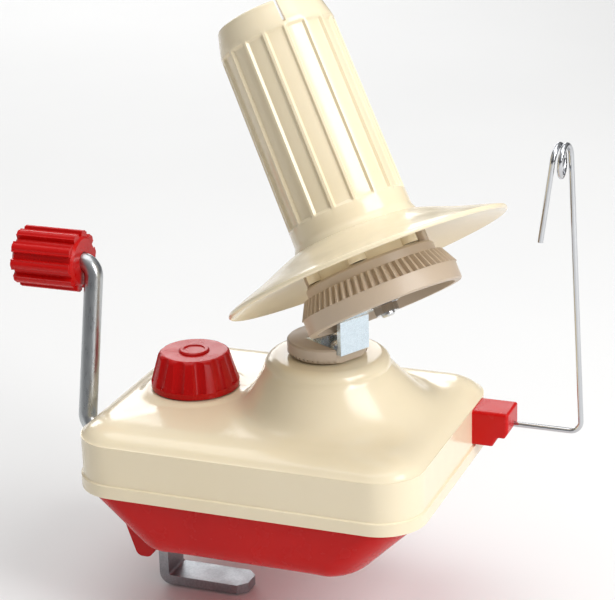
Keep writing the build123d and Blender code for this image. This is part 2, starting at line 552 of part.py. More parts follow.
UPRIGHT_IN = UPRIGHT_R - STRAP_T
TOP_PLATE_END = 9.5
with BuildPart() as flyer_bracket:
    with BuildSketch(bracket_side):
        with BuildLine():
            Polyline((SEAT_IN_X, SEAT_LOW), (UPRIGHT_R, SEAT_LOW), (UPRIGHT_R, plate_height(PLATE_LOW, UPRIGHT_R)),
                     on_axis(PLATE_LOW, TOP_PLATE_END), on_axis(PLATE_TOP, TOP_PLATE_END),
                     (UPRIGHT_IN, plate_height(PLATE_TOP, UPRIGHT_IN)), (UPRIGHT_IN, COLLAR_TOP),
                     (SEAT_IN_X, COLLAR_TOP), close=True)
        make_face()
    extrude(amount=STRAP_W / 2, both=True)
    bend_edges = flyer_bracket.edges().filter_by(lambda e: abs(e.length - STRAP_W) < 0.01)
    inner_bends = [e for e in bend_edges
                   if abs((e.center() - Vector(TURRET_X, 0, 0)).dot(out_dir) - UPRIGHT_IN) < 0.1]
    outer_bends = [e for e in bend_edges
                   if abs((e.center() - Vector(TURRET_X, 0, 0)).dot(out_dir) - UPRIGHT_R) < 0.1]
    low_in = min(inner_bends, key=lambda e: e.center().Z)
    high_out = max(outer_bends, key=lambda e: e.center().Z)
    fillet([low_in, high_out], 0.7)
    tips = [e for e in flyer_bracket.edges()
            if abs(e.length - STRAP_T) < 0.01 and (e.center() - Vector(TURRET_X, 0, 0)).dot(out_dir) > 20]
    fillet(tips, 4.5)
    with BuildSketch(bracket_plane.offset(SEAT_LOW - 1)):
        Circle(TUBE_R)
        with Locations(*BRACKET_SCREWS):
            Circle(1.3)
    extrude(amount=4, mode=Mode.SUBTRACT)
    with BuildSketch(head.offset(PLATE_LOW - 1)):
        Circle(AXLE_R)
    extrude(amount=4, mode=Mode.SUBTRACT)
flyer_bracket.part.label = "flyer_bracket"
export_step(flyer_bracket.part, "parts/flyer_bracket.step")

with BuildPart() as bracket_screws:
    for spot in BRACKET_SCREWS:
        with BuildSketch(bracket_plane.offset(COLLAR_TOP)):
            with Locations(spot):
                Circle(2.0)
        extrude(amount=1.1)
        with BuildSketch(bracket_plane.offset(COLLAR_LOW + 1)):
            with Locations(spot):
                Circle(1.1)
        extrude(amount=COLLAR_TOP - COLLAR_LOW - 1)
bracket_screws.part.label = "bracket_screws"
export_step(bracket_screws.part, "parts/bracket_screws.step")

NUT_LOW, AXLE_TIP, CLIP_S = -61.2, 6.4, 4.3
with BuildPart() as tilt_axle:
    turned(head_half, head_line, [(0, NUT_LOW - 1.2), (1.9, NUT_LOW - 1.2), (AXLE_R, NUT_LOW - 0.6),
                                  (AXLE_R, PLATE_TOP), (4.2, PLATE_TOP), (4.2, PLATE_TOP + 1.2),
                                  (AXLE_R, PLATE_TOP + 1.2), (AXLE_R, CLIP_S - 0.4), (1.8, CLIP_S - 0.4),
                                  (1.8, CLIP_S + 0.4), (AXLE_R, CLIP_S + 0.8), (AXLE_R, AXLE_TIP - 0.5),
                                  (AXLE_R - 0.5, AXLE_TIP), (0, AXLE_TIP)])
tilt_axle.part.label = "tilt_axle"
export_step(tilt_axle.part, "parts/tilt_axle.step")

with BuildPart() as axle_nut:
    with BuildSketch(head.offset(NUT_LOW)):
        RegularPolygon(4.3, 6)
    extrude(amount=PLATE_LOW - 0.6 - NUT_LOW)
    with BuildSketch(head.offset(PLATE_LOW - 0.6)):
        Circle(5.0)
    extrude(amount=0.6)
    with BuildSketch(head.offset(NUT_LOW - 1)):
        Circle(AXLE_R)
    extrude(amount=8, mode=Mode.SUBTRACT)
axle_nut.part.label = "axle_nut"
export_step(axle_nut.part, "parts/axle_nut.step")

with BuildPart() as axle_clip:
    turned(head_half, head_line, tube_points(1.8, 4.4, CLIP_S - 0.3, CLIP_S + 0.3))
axle_clip.part.label = "axle_clip"
export_step(axle_clip.part, "parts/axle_clip.step")

# ---------------------------------------------------------------- winding head on the tilted axle
BUSH_R, BUSH_LOW, BUSH_TOP = 4.2, -53.6, 3.4
with BuildPart() as core_bush:
    turned(head_half, head_line, tube_points(AXLE_R + RUN, BUSH_R, BUSH_LOW, BUSH_TOP))
core_bush.part.label = "core_bush"
export_step(core_bush.part, "parts/core_bush.step")

ring_outline = gear_outline(RING_TEETH, RING_M, ring_cone, pressure=25, addendum=0.75, dedendum=1.05,
                            start=180 + 180 / RING_TEETH)
RING_ROOT_LOW = min(Vector(x, y, 0).length for x, y in ring_outline)
RING_ROOT_TOP = RING_ROOT_LOW * TOOTH_TOP / TOOTH_LOW
RING_IN_R, RING_TOP = 24.6, -43.6
with BuildPart() as ring_gear:
    toothed_loft(head, ring_outline, TOOTH_LOW, TOOTH_TOP)
    turned(head_half, head_line, [(0, TOOTH_LOW + 0.05), (0, RING_TOP), (RING_ROOT_TOP - 1.2, RING_TOP),
                                  (RING_ROOT_TOP - 0.4, RING_TOP - 0.8), (RING_ROOT_TOP - 0.4, TOOTH_TOP + 0.2),
                                  (RING_ROOT_TOP, TOOTH_TOP - 0.05)])
    turned(head_half, head_line, [(0, TOOTH_LOW), (RING_BAND_R, TOOTH_LOW), (RING_BAND_R, RING_LOW + 0.5),
                                  (RING_BAND_R - 0.5, RING_LOW), (0, RING_LOW)])
    with BuildSketch(head_half):
        with BuildLine():
            Polyline((0, RING_LOW), (RING_IN_R + 0.8, RING_LOW), (RING_IN_R, TOOTH_LOW),
                     (RING_ROOT_TOP - 2.4, TOOTH_TOP), (RING_ROOT_TOP - 3.4, RING_TOP - 2.0),
                     (0, RING_TOP - 2.0), close=True)
        make_face()
    revolve(axis=head_line, mode=Mode.SUBTRACT)
    turned(head_half, head_line, rod_points(7.2, BUSH_LOW, RING_TOP - 1.0))
    with BuildSketch(head.offset(RING_LOW - 1)):
        Circle(BUSH_R)
    extrude(amount=40, mode=Mode.SUBTRACT)
ring_gear.part.label = "ring_gear"
export_step(ring_gear.part, "parts/ring_gear.step")

HUB_R, SKIN = 19.6, 1.8
FLANGE_ROOT = CORE_LOW
with BuildPart() as core_flange:
    # umbrella skin, with a rolled rim
    with BuildSketch(head_half):
        with BuildLine():
            Line((CORE_BASE_R - 3.0, FLANGE_ROOT), (CORE_BASE_R + 1.5, FLANGE_ROOT))
            Spline((CORE_BASE_R + 1.5, FLANGE_ROOT), (38.0, -37.4), (FLANGE_R - 0.6, FLANGE_S + 0.9),
                   tangents=((1, -0.30), (1, -0.44)))
            RadiusArc((FLANGE_R - 0.6, FLANGE_S + 0.9), (FLANGE_R - 1.2, FLANGE_S - 0.7), 0.9)
            Spline((FLANGE_R - 1.2, FLANGE_S - 0.7), (37.4, -39.2), (CORE_BASE_R - 3.0, FLANGE_ROOT - SKIN),
                   tangents=((-1, 0.44), (-1, 0.34)))
            Line((CORE_BASE_R - 3.0, FLANGE_ROOT - SKIN), (CORE_BASE_R - 3.0, FLANGE_ROOT))
        make_face()
    revolve(axis=head_line)
    # hub drum under the skin, standing on the ring gear
    turned(head_half, head_line, [(HUB_R - 2.0, RING_TOP), (HUB_R, RING_TOP), (HUB_R, FLANGE_ROOT - 1.2),
                                  (HUB_R - 2.0, FLANGE_ROOT - 1.2)])
    # hub floor that carries the core
    turned(head_half, head_line, tube_points(BUSH_R, CORE_BASE_R - 2.0, FLANGE_ROOT - SKIN, FLANGE_ROOT))
    # rounded lugs around the drum
    with BuildSketch(head.offset(RING_TOP + 0.6)):
        with PolarLocations(HUB_R, 6, start_angle=12):
            Circle(3.3)
    extrude(amount=7.2)
    with BuildSketch(head.offset(RING_TOP + 0.5)):
        Circle(HUB_R - 2.0)
    extrude(amount=7.4, mode=Mode.SUBTRACT)
    with BuildSketch(head.offset(FLANGE_ROOT - SKIN - 2)):
        Circle(BUSH_R)
    extrude(amount=6, mode=Mode.SUBTRACT)
core_flange.part.label = "core_flange"
export_step(core_flange.part, "parts/core_flange.step")

with BuildPart() as lock_tabs:
    for turn in (42.0, 222.0):
        with BuildSketch(head.offset(RING_TOP + 0.1)):
            with PolarLocations(HUB_R + 1.3, 1, start_angle=turn):
                RectangleRounded(2.5, 10.4, 0.6)
        extrude(amount=4.6)
    with BuildSketch(head.offset(RING_TOP)):
        Circle(HUB_R)
    extrude(amount=6, mode=Mode.SUBTRACT)
lock_tabs.part.label = "lock_tabs"
export_step(lock_tabs.part, "parts/lock_tabs.step")

PANEL_LOW, PANEL_HIGH, FIRST_PANEL = -23.5, 41.5, 2.8
CORE_WALL, RIM_R = 2.6, 19.0
NOTCH_AZIMUTH, NOTCH_W, NOTCH_H = -27.5, 1.2, 8.7
with BuildPart() as winding_core:
    with BuildSketch(head_half):
        with BuildLine():
            Line((0, CORE_LOW), (CORE_BASE_R + 1.0, CORE_LOW))
            RadiusArc((CORE_BASE_R + 1.0, CORE_LOW), (CORE_BASE_R, CORE_LOW + 2.4), -6.0)
            Line((CORE_BASE_R, CORE_LOW + 2.4), (CORE_R, PANEL_HIGH))
            Line((CORE_R, PANEL_HIGH), (RIM_R, CORE_TOP - 1.2))
            RadiusArc((RIM_R, CORE_TOP - 1.2), (RIM_R - 1.2, CORE_TOP), -1.2)
            Line((RIM_R - 1.2, CORE_TOP), (0, CORE_TOP))
            Line((0, CORE_TOP), (0, CORE_LOW))
        make_face()
    revolve(axis=head_line)
    with BuildSketch(head_half):
        with BuildLine():
            Polyline((0, CORE_LOW + 2.4), (CORE_BASE_R - CORE_WALL, CORE_LOW + 2.4),
                     (CORE_R - CORE_WALL, PANEL_HIGH), (RIM_R - CORE_WALL + 0.4, CORE_TOP),
                     (RIM_R - CORE_WALL + 0.4, CORE_TOP + 1), (0, CORE_TOP + 1), close=True)
        make_face()
    revolve(axis=head_line, mode=Mode.SUBTRACT)
    # recessed panels between the ribs
    panel_half = 180 / RIBS - degrees(RIB_W / CORE_R) / 2
    panel_floor = CORE_R - PANEL_DEEP
    for rib in range(RIBS):
        middle = FIRST_PANEL + 360 / RIBS * rib
        with BuildSketch(head.offset(PANEL_LOW)):
            with BuildLine():
                low_arc = CenterArc((0, 0), panel_floor, middle - panel_half, 2 * panel_half)
                high_arc = CenterArc((0, 0), CORE_R + 3, middle - panel_half, 2 * panel_half)
                Line(low_arc @ 0, high_arc @ 0)
                Line(low_arc @ 1, high_arc @ 1)
            make_face()
        extrude(amount=PANEL_HIGH - PANEL_LOW, mode=Mode.SUBTRACT)
    # axle hub and its web
    turned(head_half, head_line, rod_points(6.8, CORE_LOW, 0.0))
    turned(head_half, head_line, rod_points(CORE_R - 1.5, -2.2, 0.0))
    with BuildSketch(head.offset(CORE_LOW - 1)):
        Circle(BUSH_R)
    extrude(amount=60, mode=Mode.SUBTRACT)
    # yarn notch in the top rim
    notch_dir = Vector(cos(radians(NOTCH_AZIMUTH)), sin(radians(NOTCH_AZIMUTH)), 0)
    with BuildSketch(Plane(origin=apex + head_axis * (CORE_TOP - NOTCH_H), x_dir=notch_dir, z_dir=head_axis)):
        with Locations((RIM_R, 0)):
            Rectangle(12, NOTCH_W)
    extrude(amount=20, mode=Mode.SUBTRACT)
winding_core.part.label = "winding_core"
export_step(winding_core.part, "parts/winding_core.step")

# ---------------------------------------------------------------- clamp
KNOB_TOP = KNOB_LOW + KNOB_H
CAP_R = 5.7
with BuildPart() as clamp_knob:
    with BuildSketch(knob_half):
        with BuildLine():
            Polyline((0, KNOB_LOW), (KNOB_R, KNOB_LOW), (KNOB_R, KNOB_LOW + 2.0),
                     (KNOB_TOP_R, KNOB_TOP), (0, KNOB_TOP), close=True)
        make_face()
    revolve(axis=knob_line)
    fillet(clamp_knob.edges().group_by(Axis.Z)[-1], 2.0)
    flute_r = 4.2
    lean = degrees(atan((KNOB_R - KNOB_TOP_R) / (KNOB_H - 2)))
    for flute in range(KNOB_FLUTES):
        bearing = 360 / KNOB_FLUTES * flute
        spoke = Vector(cos(radians(bearing)), sin(radians(bearing)), 0)
        foot = Vector(KNOB_X, 0, KNOB_LOW + 3.2) + spoke * (KNOB_R + flute_r - 1.1)
        lean_dir = Vector(0, 0, 1) * cos(radians(lean)) - spoke * sin(radians(lean))
        with BuildSketch(Plane(origin=foot, z_dir=lean_dir)):
            Circle(flute_r)
        extrude(amount=30, mode=Mode.SUBTRACT)
    with Locations((KNOB_X, 0, KNOB_LOW)):
        Cylinder(4.0, 2 * (KNOB_H - 3.0), mode=Mode.SUBTRACT)
    with BuildSketch(Plane(origin=(KNOB_X, 0, KNOB_TOP))):
        Circle(CAP_R)
    extrude(amount=-0.9, mode=Mode.SUBTRACT)
clamp_knob.part.label = "clamp_knob"
export_step(clamp_knob.part, "parts/clamp_knob.step")

with BuildPart() as knob_insert:
    turned(knob_half, knob_line, tube_points(CLAMP_R, 4.0, KNOB_LOW - 0.3, KNOB_TOP - 3.0))
knob_insert.part.label = "knob_insert"
export_step(knob_insert.part, "parts/knob_insert.step")

with BuildPart() as knob_cap:
    turned(knob_half, knob_line, [(0, KNOB_TOP - 0.9), (CAP_R, KNOB_TOP - 0.9), (CAP_R, KNOB_TOP + 0.3),
                                  (CAP_R - 0.6, KNOB_TOP + 0.8), (4.0, KNOB_TOP + 0.8), (3.7, KNOB_TOP + 0.4),
                                  (0, KNOB_TOP + 0.4)])
knob_cap.part.label = "knob_cap"
export_step(knob_cap.part, "parts/knob_cap.step")

with BuildPart() as screw_sleeve:
    turned(knob_half, knob_line, [(CLAMP_R + RUN, 41.0), (4.5, 41.0), (4.5, KNOB_BOSS_TOP),
                                  (7.5, KNOB_BOSS_TOP), (7.5, KNOB_BOSS_TOP + 0.25),
                                  (CLAMP_R + RUN, KNOB_BOSS_TOP + 0.25)])
screw_sleeve.part.label = "screw_sleeve"
export_step(screw_sleeve.part, "parts/screw_sleeve.step")

SCREW_CLIP_Z = 40.0
with BuildPart() as clamp_screw:
    turned(knob_half, knob_line, [(0, 4.6), (2.4, 4.6), (CLAMP_R, 5.2), (CLAMP_R, SCREW_CLIP_Z - 0.5),
                                  (2.3, SCREW_CLIP_Z - 0.5), (2.3, SCREW_CLIP_Z + 0.5),
                                  (CLAMP_R, SCREW_CLIP_Z + 0.5), (CLAMP_R, KNOB_TOP - 3.0), (0, KNOB_TOP - 3.0)])
clamp_screw.part.label = "clamp_screw"
export_step(clamp_screw.part, "parts/clamp_screw.step")

with BuildPart() as screw_clip:
    turned(knob_half, knob_line, tube_points(2.3, 5.4, SCREW_CLIP_Z - 0.4, SCREW_CLIP_Z + 0.4))
screw_clip.part.label = "screw_clip"
export_step(screw_clip.part, "parts/screw_clip.step")

BAR_TOP_X1 = KNOB_X + 7.5
with BuildPart() as clamp_foot:
    with BuildSketch(Plane.XZ.offset(-BAR_W / 2)):
        with BuildLine():
            Polyline((BAR_X0, FOOT_LOW), (BAR_X1, FOOT_LOW), (BAR_X1, FOOT_LOW + BAR_T),
                     (BAR_X0 + BAR_T, FOOT_LOW + BAR_T), (BAR_X0 + BAR_T, FLANGE_LOW),
                     (BAR_TOP_X1, FLANGE_LOW), (BAR_TOP_X1, FLANGE_LOW + BAR_T),
                     (BAR_X0, FLANGE_LOW + BAR_T), close=True)
        make_face()
    extrude(amount=BAR_W)
    cross_edges = clamp_foot.edges().filter_by(Axis.Y)
    outer_bends = cross_edges.filter_by_position(Axis.X, BAR_X0 - 0.1, BAR_X0 + 0.1)
    inner_bends = cross_edges.filter_by_position(Axis.X, BAR_X0 + BAR_T - 0.1, BAR_X0 + BAR_T + 0.1)
    fillet(outer_bends, 4.6)
    fillet(inner_bends, 0.9)
    toe = clamp_foot.edges().filter_by(Axis.Z).filter_by_position(Axis.X, BAR_X1 - 0.1, BAR_X1 + 0.1)
    chamfer(toe, 3.4)
    with Locations((KNOB_X, 0, FLANGE_LOW)):
        Cylinder(CLAMP_R + RUN, 20, mode=Mode.SUBTRACT)
clamp_foot.part.label = "clamp_foot"
export_step(clamp_foot.part, "parts/clamp_foot.step")

# ---------------------------------------------------------------- yarn guide
SOCKET_X1, SOCKET_STEP_X = 74.0, 78.0
with BuildPart() as guide_socket:
    with BuildSketch(Plane.XZ.offset(-(GUIDE_Y - SOCKET_W / 2 - 2.0))):
        with BuildLine():
            Polyline((SOCKET_X0, SOCKET_Z0), (SOCKET_X1 - 2.0, SOCKET_Z0), (SOCKET_X1, SOCKET_Z0 + 3.6),
                     (SOCKET_STEP_X - 1.4, SOCKET_Z0 + 3.6), (SOCKET_STEP_X, SOCKET_Z0 + 6.0),
                     (SOCKET_STEP_X, SOCKET_Z1), (SOCKET_X0, SOCKET_Z1), close=True)
        make_face()
    extrude(amount=-SOCKET_W)
    fillet(guide_socket.edges().filter_by(Axis.Y).filter_by_position(Axis.X, SOCKET_X1 - 2.1, 90), 0.9)
    fillet(guide_socket.faces().sort_by(Axis.X)[-1].edges().filter_by(Axis.Z), 1.2)
    with Locations(Location((SOCKET_X0 + 1.0, GUIDE_Y, GUIDE_Z), (0, 90, 0))):
        Cylinder(WIRE_R + RUN, 30, align=(Align.CENTER, Align.CENTER, Align.MIN), mode=Mode.SUBTRACT)
    for rise in (SOCKET_Z0 + 3.0, SOCKET_Z1 - 5.0):
        with Locations(Location((SOCKET_X0, GUIDE_Y - 4.0, rise), (0, 90, 0))):
            Cylinder(1.3, 14, mode=Mode.SUBTRACT)
guide_socket.part.label = "guide_socket"
export_step(guide_socket.part, "parts/guide_socket.step")

with BuildPart() as socket_screws:
    for rise in (SOCKET_Z0 + 3.0, SOCKET_Z1 - 5.0):
        with Locations(Location((HOUSE_X / 2 - WALL, GUIDE_Y - 4.0, rise), (0, 90, 0))):
            Cylinder(2.5, 1.5, align=(Align.CENTER, Align.CENTER, Align.MAX))
            Cylinder(1.3, 9.0, align=(Align.CENTER, Align.CENTER, Align.MIN))
socket_screws.part.label = "socket_screws"
export_step(socket_screws.part, "parts/socket_screws.step")

# guide wire: straight from the socket, up, one and a half turns of an open eye, then a free tail
eye_y = GUIDE_Y - EYE_R
EYE_STEP, EYE_CORNERS = 0.42, 9
corner_r = EYE_R / cos(radians(30))
eye_points = []
for corner in range(EYE_CORNERS):
    swing = radians(30 + 60 * corner)
    eye_points.append((WIRE_TOP_X - EYE_STEP * (corner + 0.5), eye_y + corner_r * cos(swing),
                       EYE_Z + corner_r * sin(swing)))
TAIL_X, TAIL_Y, TAIL_Z = 90.2, eye_y - EYE_R - 1.0, 109.0
with BuildPart() as guide_wire:
    with BuildLine() as wire_path:
        FilletPolyline((SOCKET_X0 + 2.2, GUIDE_Y, GUIDE_Z), (WIRE_X, GUIDE_Y, GUIDE_Z), *eye_points,
                       (TAIL_X, TAIL_Y, TAIL_Z), radius=[4.0] + [5.0] * EYE_CORNERS)
    with BuildSketch(Plane(origin=(SOCKET_X0 + 2.2, GUIDE_Y, GUIDE_Z), z_dir=(1, 0, 0))):
        Circle(WIRE_R)
    sweep()
guide_wire.part.label = "guide_wire"
export_step(guide_wire.part, "parts/guide_wire.step")
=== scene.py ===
"""Looks for the hand-cranked yarn ball winder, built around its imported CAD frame."""

import json
import math

import bmesh
import bpy
from mathutils import Matrix, Vector


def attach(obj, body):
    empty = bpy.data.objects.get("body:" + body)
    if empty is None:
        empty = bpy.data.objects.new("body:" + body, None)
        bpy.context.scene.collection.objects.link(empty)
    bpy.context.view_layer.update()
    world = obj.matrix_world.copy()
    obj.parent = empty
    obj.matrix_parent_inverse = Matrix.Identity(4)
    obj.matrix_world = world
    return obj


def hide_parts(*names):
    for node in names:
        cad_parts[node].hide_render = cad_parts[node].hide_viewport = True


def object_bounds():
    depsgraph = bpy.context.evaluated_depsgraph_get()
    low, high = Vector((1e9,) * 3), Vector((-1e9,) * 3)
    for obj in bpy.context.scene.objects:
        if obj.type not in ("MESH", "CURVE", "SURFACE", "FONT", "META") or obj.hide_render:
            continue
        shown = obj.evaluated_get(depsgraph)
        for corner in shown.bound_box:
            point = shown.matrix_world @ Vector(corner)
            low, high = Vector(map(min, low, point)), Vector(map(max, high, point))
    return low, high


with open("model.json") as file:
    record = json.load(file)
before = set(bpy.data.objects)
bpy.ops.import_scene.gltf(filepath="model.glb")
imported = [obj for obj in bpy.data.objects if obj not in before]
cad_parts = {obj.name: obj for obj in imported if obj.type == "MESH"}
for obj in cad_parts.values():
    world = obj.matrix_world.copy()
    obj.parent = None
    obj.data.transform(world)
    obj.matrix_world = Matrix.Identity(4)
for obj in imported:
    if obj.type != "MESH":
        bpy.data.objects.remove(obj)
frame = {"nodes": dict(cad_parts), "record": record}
cad_low, cad_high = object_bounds()
nodes = frame["nodes"]
MM = 0.001


# ------------------------------------------------------------------ materials
RAMP_DARK_AT, RAMP_LIGHT_AT = 0.32, 0.70
NOISE_LOW, NOISE_HIGH = 0.3, 0.7
MOTTLE, POLISH, RIPPLE, SKIN = 22, 160, 60, 1700
RIPPLE_PER_GRAIN = 4
PLASTIC_SOFTER, PLASTIC_GLOSSIER = 0.07, 0.05
COAT_ROUGH = 0.12
SCATTER_RADIUS, SCATTER_DEPTH = (1.0, 0.8, 0.5), 0.002
METAL_BLOTCH, LINE_DEPTH = 30, 0.00001
ZINC_CLOUD, ZINC_FINE = 120, 1400


def new_material(name):
    """A material with nodes, its node tree and its shader."""
    material = bpy.data.materials.new(name)
    material.use_nodes = True
    tree = material.node_tree
    shader = tree.nodes["Principled BSDF"]
    return material, tree, shader


def object_noise(tree, scale, detail=3.0, stretch=(1, 1, 1), rough=0.5):
    """Noise fixed to the piece, in metres, stretched along its axes."""
    coords = tree.nodes.new("ShaderNodeTexCoord")
    mapping = tree.nodes.new("ShaderNodeMapping")
    mapping.inputs["Scale"].default_value = stretch
    noise = tree.nodes.new("ShaderNodeTexNoise")
    noise.inputs["Scale"].default_value = scale
    noise.inputs["Detail"].default_value = detail
    noise.inputs["Roughness"].default_value = rough
    tree.links.new(coords.outputs["Object"], mapping.inputs["Vector"])
    tree.links.new(mapping.outputs["Vector"], noise.inputs["Vector"])
    return noise


def tint_between(tree, shader, factor, dark, light):
    """Base colour that runs from dark to light with a noise factor."""
    ramp = tree.nodes.new("ShaderNodeValToRGB")
    ramp.color_ramp.elements[0].position = RAMP_DARK_AT
    ramp.color_ramp.elements[1].position = RAMP_LIGHT_AT
    ramp.color_ramp.elements[0].color = (*dark, 1)
    ramp.color_ramp.elements[1].color = (*light, 1)
    tree.links.new(factor, ramp.inputs["Fac"])
    tree.links.new(ramp.outputs["Color"], shader.inputs["Base Color"])


def roughness_between(tree, shader, factor, low, high):
    """Roughness that runs from low to high with a noise factor."""
    spread = tree.nodes.new("ShaderNodeMapRange")
    spread.inputs["From Min"].default_value = NOISE_LOW
    spread.inputs["From Max"].default_value = NOISE_HIGH
    spread.inputs["To Min"].default_value = low
    spread.inputs["To Max"].default_value = high
    tree.links.new(factor, spread.inputs["Value"])
    tree.links.new(spread.outputs["Result"], shader.inputs["Roughness"])


def add_bump(tree, shader, height, distance, strength, below=None):
    """Bump from a height output, optionally laid over another bump."""
    bump = tree.nodes.new("ShaderNodeBump")
    bump.inputs["Distance"].default_value = distance
    bump.inputs["Strength"].default_value = strength
    tree.links.new(height, bump.inputs["Height"])
    if below is not None:
        tree.links.new(below.outputs["Normal"], bump.inputs["Normal"])
    tree.links.new(bump.outputs["Normal"], shader.inputs["Normal"])
    return bump


def moulded_plastic(name, dark, light, rough, grain, coat=0.0, scatter=0.0, ior=1.5):
    """Injection-moulded plastic: faint flow mottling, uneven polish and a fine moulded skin."""
    material, tree, shader = new_material(name)
    flow = object_noise(tree, MOTTLE, 4, (1, 1, 0.5))
    tint_between(tree, shader, flow.outputs["Fac"], dark, light)
    polish = object_noise(tree, POLISH, 4)
    roughness_between(tree, shader, polish.outputs["Fac"], rough - PLASTIC_GLOSSIER, rough + PLASTIC_SOFTER)
    waves = object_noise(tree, RIPPLE, 2)
    ripple = add_bump(tree, shader, waves.outputs["Fac"], grain * RIPPLE_PER_GRAIN, 0.5)
    skin = object_noise(tree, SKIN, 3)
    add_bump(tree, shader, skin.outputs["Fac"], grain, 0.7, below=ripple)
    shader.inputs["IOR"].default_value = ior
    shader.inputs["Coat Weight"].default_value = coat
    shader.inputs["Coat Roughness"].default_value = COAT_ROUGH
    if scatter:
        shader.inputs["Subsurface Weight"].default_value = scatter
        shader.inputs["Subsurface Radius"].default_value = SCATTER_RADIUS
        shader.inputs["Subsurface Scale"].default_value = SCATTER_DEPTH
    return material


def drawn_metal(name, dark, light, low, high, stretch=(1, 1, 1), line_scale=900):
    """Plated or drawn metal: soft blotches under fine lines along the working direction."""
    material, tree, shader = new_material(name)
    shader.inputs["Metallic"].default_value = 1.0
    tint_between(tree, shader, object_noise(tree, METAL_BLOTCH, 5).outputs["Fac"], dark, light)
    lines = object_noise(tree, line_scale, 5, stretch, 0.65)
    roughness_between(tree, shader, lines.outputs["Fac"], low, high)
    add_bump(tree, shader, lines.outputs["Fac"], LINE_DEPTH, 0.8)
    return material


def zinc_plate(name, dark, light, low, high, cell):
    """Zinc plate: a spangle of small grains, each with its own tone, under a cloudy polish."""
    material, tree, shader = new_material(name)
    shader.inputs["Metallic"].default_value = 1.0
    coords = tree.nodes.new("ShaderNodeTexCoord")
    grains = tree.nodes.new("ShaderNodeTexVoronoi")
    grains.inputs["Scale"].default_value = cell
    tree.links.new(coords.outputs["Object"], grains.inputs["Vector"])
    tint_between(tree, shader, grains.outputs["Color"], dark, light)
    cloud = object_noise(tree, ZINC_CLOUD, 6)
    roughness_between(tree, shader, cloud.outputs["Fac"], low, high)
    fine = object_noise(tree, ZINC_FINE, 3)
    add_bump(tree, shader, fine.outputs["Fac"], LINE_DEPTH, 0.7)
    return material


POLISHED, MATT = 0.000008, 0.00003
cream = moulded_plastic("cream_moulding", (0.83, 0.715, 0.50), (0.865, 0.755, 0.545), 0.20, POLISHED,
                        coat=0.30, scatter=0.05)
red = moulded_plastic("red_moulding", (0.50, 0.0035, 0.0035), (0.58, 0.006, 0.005), 0.24, POLISHED, ior=1.3)
beige = moulded_plastic("beige_moulding", (0.50, 0.40, 0.30), (0.57, 0.465, 0.36), 0.38, MATT, scatter=0.03)
nylon = moulded_plastic("natural_nylon", (0.76, 0.74, 0.68), (0.83, 0.81, 0.76), 0.42, MATT, scatter=0.1)
rod_steel = drawn_metal("satin_rod", (0.42, 0.44, 0.45), (0.54, 0.56, 0.57), 0.24, 0.36, (1, 1, 0.04))
chrome = drawn_metal("chrome_plate", (0.50, 0.51, 0.53), (0.62, 0.63, 0.65), 0.06, 0.13, line_scale=300)
hardware = drawn_metal("plated_hardware", (0.56, 0.57, 0.58), (0.70, 0.71, 0.72), 0.2, 0.34, line_scale=700)
bar_zinc = zinc_plate("dull_zinc", (0.34, 0.36, 0.38), (0.40, 0.42, 0.44), 0.34, 0.5, 1500)
bracket_zinc = zinc_plate("bright_zinc", (0.62, 0.71, 0.77), (0.68, 0.77, 0.83), 0.18, 0.30, 1800)
brass = drawn_metal("machined_brass", (0.62, 0.42, 0.16), (0.74, 0.53, 0.24), 0.2, 0.32, (1, 1, 6))

FINISH = {
    "cream_plastic": cream,
    "red_plastic": red,
    "beige_plastic": beige,
    "white_nylon": nylon,
    "satin_rod": rod_steel,
    "chrome_wire": chrome,
    "steel_hardware": hardware,
    "zinc_bar": bar_zinc,
    "zinc_bracket": bracket_zinc,
    "brass_insert": brass,
}
for entry in frame["record"]["subparts"]:
    piece = nodes[entry["node"]]
    piece.data.materials.clear()
    piece.data.materials.append(FINISH[entry["material_slot"]])


# ------------------------------------------------------------------ smooth pieces over the CAD
SHARP_ABOVE = math.radians(38)


def smoothstep(low, high, value):
    """0 below low, 1 above high, and an S-curve between."""
    t = min(1.0, max(0.0, (value - low) / (high - low)))
    return t * t * (3 - 2 * t)


def soft_max(a, b, reach):
    """The larger of two heights, blended where they differ by less than reach."""
    gap = max(reach - abs(a - b), 0.0) / reach
    return max(a, b) + gap * gap * reach / 4


def ring_mesh(name, columns):
    """A closed skin: each column is a closed profile, and the last column joins the first."""
    mesh = bpy.data.meshes.new(name)
    rows = len(columns[0])
    count = len(columns)
    faces = []
    for i in range(count):
        after = (i + 1) % count
        for j in range(rows):
            above_j = (j + 1) % rows
            here, there = i * rows, after * rows
            faces.append((here + j, there + j, there + above_j, here + above_j))
    mesh.from_pydata([point for column in columns for point in column], [], faces)
    shell = bmesh.new()
    shell.from_mesh(mesh)
    bmesh.ops.recalc_face_normals(shell, faces=shell.faces)
    shell.to_mesh(mesh)
    shell.free()
    piece = bpy.data.objects.new(name, mesh)
    bpy.context.scene.collection.objects.link(piece)
    return piece


def cut(piece, cutters):
    """Takes the cutters out of the piece for good, then smooths all but its sharp corners."""
    for cutter in cutters:
        step = piece.modifiers.new("cut", "BOOLEAN")
        step.operation = "DIFFERENCE"
        step.solver = "EXACT"
        step.object = cutter
    bpy.context.view_layer.update()
    shaped = piece.evaluated_get(bpy.context.evaluated_depsgraph_get())
    mesh = bpy.data.meshes.new_from_object(shaped)
    piece.modifiers.clear()
    piece.data = mesh
    for cutter in cutters:
        bpy.data.objects.remove(cutter)
    mesh.shade_smooth()
    mesh.set_sharp_from_angle(angle=SHARP_ABOVE)


